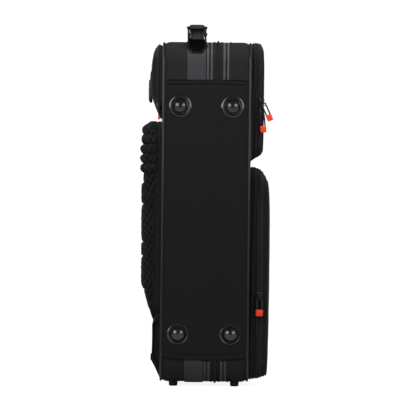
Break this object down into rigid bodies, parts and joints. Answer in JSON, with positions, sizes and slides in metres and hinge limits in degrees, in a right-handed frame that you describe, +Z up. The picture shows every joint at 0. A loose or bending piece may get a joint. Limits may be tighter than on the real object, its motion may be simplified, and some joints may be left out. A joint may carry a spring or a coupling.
{
  "type": "golf travel case",
  "caption": "Upright soft-sided zipped travel case with a fabric spine hinge, padded back, outside pockets, domed spine studs and carry handles.",
  "frame": {"origin": "bottom centre of the case's bounding box, on the surface that its feet stand on", "axes": "+Z up, +X from the padded back to the pocket side, -Y is the spine side with the studs"},
  "size_m": [0.2381, 0.36, 0.66],
  "materials": {
    "shell_fabric": "coarse woven polyester",
    "spine_fabric": "fine woven polyester",
    "wall_foam": "closed-cell foam, fabric lined",
    "stiff_board": "smooth",
    "piping": "satin",
    "zip_tape": "twill tape with moulded coil",
    "stud_plastic": "glossy",
    "steel": "plated",
    "foot_rubber": "matt",
    "webbing": "ribbed webbing",
    "bracket_plastic": "satin",
    "grip_rubber": "soft matt",
    "pad_mesh": "open mesh over foam",
    "pad_fabric": "smooth knit",
    "patch_rubber": "moulded, blank",
    "slider_metal": "black enamel",
    "pull_rubber": "black loop with an orange moulded end"
  },
  "bodies": {
    "rear_shell": {"rear_skin": "shell_fabric", "rear_core": "wall_foam", "rear_face": "shell_fabric", "rear_board": "stiff_board", "rear_piping": "piping", "spine_panel_rear": "spine_fabric", "main_zip_rear_tape": "zip_tape", "spine_studs_rear": "stud_plastic", "stud_washers_rear": "steel", "rear_feet": "foot_rubber", "carry_webbing": "webbing", "handle_brackets": "bracket_plastic", "bracket_rivets": "steel", "rear_pocket_base": "shell_fabric", "pad_gusset": "pad_fabric", "back_pad": "pad_mesh", "lower_back_panel": "shell_fabric", "strap_tabs": "webbing", "side_brackets": "bracket_plastic", "tie_straps": "webbing"},
    "top_handle": {"top_grip": "grip_rubber"},
    "side_handle": {"side_grip": "grip_rubber"},
    "rear_flap": {"rear_pocket_lid": "shell_fabric", "rear_pocket_patch": "patch_rubber"},
    "middle_leaf": {"band_skin": "shell_fabric", "band_core": "wall_foam", "divider": "wall_foam", "ridge_piping": "piping", "main_zip_front_tape": "zip_tape", "front_zip_rear_tape": "zip_tape"},
    "front_shell": {"front_skin": "shell_fabric", "front_core": "wall_foam", "front_face": "shell_fabric", "front_board": "stiff_board", "front_piping": "piping", "spine_panel_front": "spine_fabric", "spine_studs_front": "stud_plastic", "stud_washers_front": "steel", "front_zip_front_tape": "zip_tape", "front_feet": "foot_rubber", "upper_pocket_base": "shell_fabric", "lower_pocket_base": "shell_fabric"},
    "upper_flap": {"upper_pocket_lid": "shell_fabric"},
    "lower_flap": {"lower_pocket_lid": "shell_fabric"},
    "upper_zip_slider_a": {"upper_slider_a": "slider_metal"},
    "upper_zip_pull_a": {"upper_pull_a": "pull_rubber"},
    "upper_zip_slider_b": {"upper_slider_b": "slider_metal"},
    "upper_zip_pull_b": {"upper_pull_b": "pull_rubber"},
    "lower_zip_slider": {"lower_slider": "slider_metal"},
    "lower_zip_pull": {"lower_pull": "pull_rubber"},
    "rear_zip_slider": {"rear_slider": "slider_metal"},
    "rear_zip_pull": {"rear_pull": "pull_rubber"},
    "main_zip_slider_a": {"main_slider_a": "slider_metal"},
    "main_zip_pull_a": {"main_pull_a": "pull_rubber"},
    "main_zip_slider_b": {"main_slider_b": "slider_metal"},
    "main_zip_pull_b": {"main_pull_b": "pull_rubber"},
    "front_zip_slider_a": {"front_slider_a": "slider_metal"},
    "front_zip_pull_a": {"front_pull_a": "pull_rubber"},
    "front_zip_slider_b": {"front_slider_b": "slider_metal"},
    "front_zip_pull_b": {"front_pull_b": "pull_rubber"}
  },
  "joints": [
    {"name": "main_fold", "type": "hinge", "parent": "rear_shell", "child": "middle_leaf", "pos_m": [0.0135, -0.17, 0.318], "axis": [0, 0, -1], "range_deg": [0, 90]},
    {"name": "front_fold", "type": "hinge", "parent": "middle_leaf", "child": "front_shell", "pos_m": [0.0255, -0.17, 0.318], "axis": [0, 0, -1], "range_deg": [0, 66]},
    {"name": "upper_flap_fold", "type": "hinge", "parent": "front_shell", "child": "upper_flap", "pos_m": [0.1035, -0.01, 0.429], "axis": [0, 1, 0], "range_deg": [0, 75]},
    {"name": "lower_flap_fold", "type": "hinge", "parent": "front_shell", "child": "lower_flap", "pos_m": [0.1145, -0.01, 0.16], "axis": [0, 1, 0], "range_deg": [0, 70]},
    {"name": "rear_flap_fold", "type": "hinge", "parent": "rear_shell", "child": "rear_flap", "pos_m": [-0.0878, -0.01, 0.493], "axis": [0, -1, 0], "range_deg": [0, 45]},
    {"name": "top_handle_press", "type": "slide", "parent": "rear_shell", "child": "top_handle", "axis": [0, 0, -1], "range_m": [0, 0.014], "stiffness_N_per_m": 600, "springref_m": -0.003},
    {"name": "side_handle_press", "type": "slide", "parent": "rear_shell", "child": "side_handle", "axis": [0, -1, 0], "range_m": [0, 0.014], "stiffness_N_per_m": 600, "springref_m": -0.003},
    {"name": "upper_slider_a_run", "type": "slide", "parent": "front_shell", "child": "upper_zip_slider_a", "axis": [0, 0, 1], "range_m": [0, 0.075]},
    {"name": "upper_pull_a_swing", "type": "hinge", "parent": "upper_zip_slider_a", "child": "upper_zip_pull_a", "pos_m": [0.1005, -0.161, 0.522], "axis": [-1, 0, 0], "range_deg": [0, 90]},
    {"name": "upper_slider_b_run", "type": "slide", "parent": "front_shell", "child": "upper_zip_slider_b", "axis": [0, 0, -1], "range_m": [0, 0.06]},
    {"name": "upper_pull_b_swing", "type": "hinge", "parent": "upper_zip_slider_b", "child": "upper_zip_pull_b", "pos_m": [0.1005, -0.1562, 0.502], "axis": [-1, 0, 0], "range_deg": [0, 90]},
    {"name": "lower_slider_run", "type": "slide", "parent": "front_shell", "child": "lower_zip_slider", "axis": [0, 0, 1], "range_m": [0, 0.19]},
    {"name": "lower_pull_swing", "type": "hinge", "parent": "lower_zip_slider", "child": "lower_zip_pull", "pos_m": [0.0995, -0.1562, 0.167], "axis": [-1, 0, 0], "range_deg": [0, 90]},
    {"name": "rear_slider_run", "type": "slide", "parent": "rear_shell", "child": "rear_zip_slider", "axis": [0, 0, 1], "range_m": [0, 0.08]},
    {"name": "rear_pull_swing", "type": "hinge", "parent": "rear_zip_slider", "child": "rear_zip_pull", "pos_m": [-0.0875, -0.1588, 0.51], "axis": [-1, 0, 0], "range_deg": [0, 90]},
    {"name": "main_slider_a_run", "type": "slide", "parent": "rear_shell", "child": "main_zip_slider_a", "axis": [0, 0, 1], "range_m": [0, 0.22]},
    {"name": "main_pull_a_swing", "type": "hinge", "parent": "main_zip_slider_a", "child": "main_zip_pull_a", "pos_m": [0.0045, 0.161, 0.326], "axis": [1, 0, 0], "range_deg": [0, 90]},
    {"name": "main_slider_b_run", "type": "slide", "parent": "rear_shell", "child": "main_zip_slider_b", "axis": [0, 0, -1], "range_m": [0, 0.22]},
    {"name": "main_pull_b_swing", "type": "hinge", "parent": "main_zip_slider_b", "child": "main_zip_pull_b", "pos_m": [0.0045, 0.1562, 0.306], "axis": [1, 0, 0], "range_deg": [0, 90]},
    {"name": "front_slider_a_run", "type": "slide", "parent": "middle_leaf", "child": "front_zip_slider_a", "axis": [0, 0, 1], "range_m": [0, 0.22]},
    {"name": "front_pull_a_swing", "type": "hinge", "parent": "front_zip_slider_a", "child": "front_zip_pull_a", "pos_m": [0.0345, 0.161, 0.326], "axis": [1, 0, 0], "range_deg": [0, 90]},
    {"name": "front_slider_b_run", "type": "slide", "parent": "middle_leaf", "child": "front_zip_slider_b", "axis": [0, 0, -1], "range_m": [0, 0.22]},
    {"name": "front_pull_b_swing", "type": "hinge", "parent": "front_zip_slider_b", "child": "front_zip_pull_b", "pos_m": [0.0345, 0.1562, 0.306], "axis": [1, 0, 0], "range_deg": [0, 90]}
  ]
}
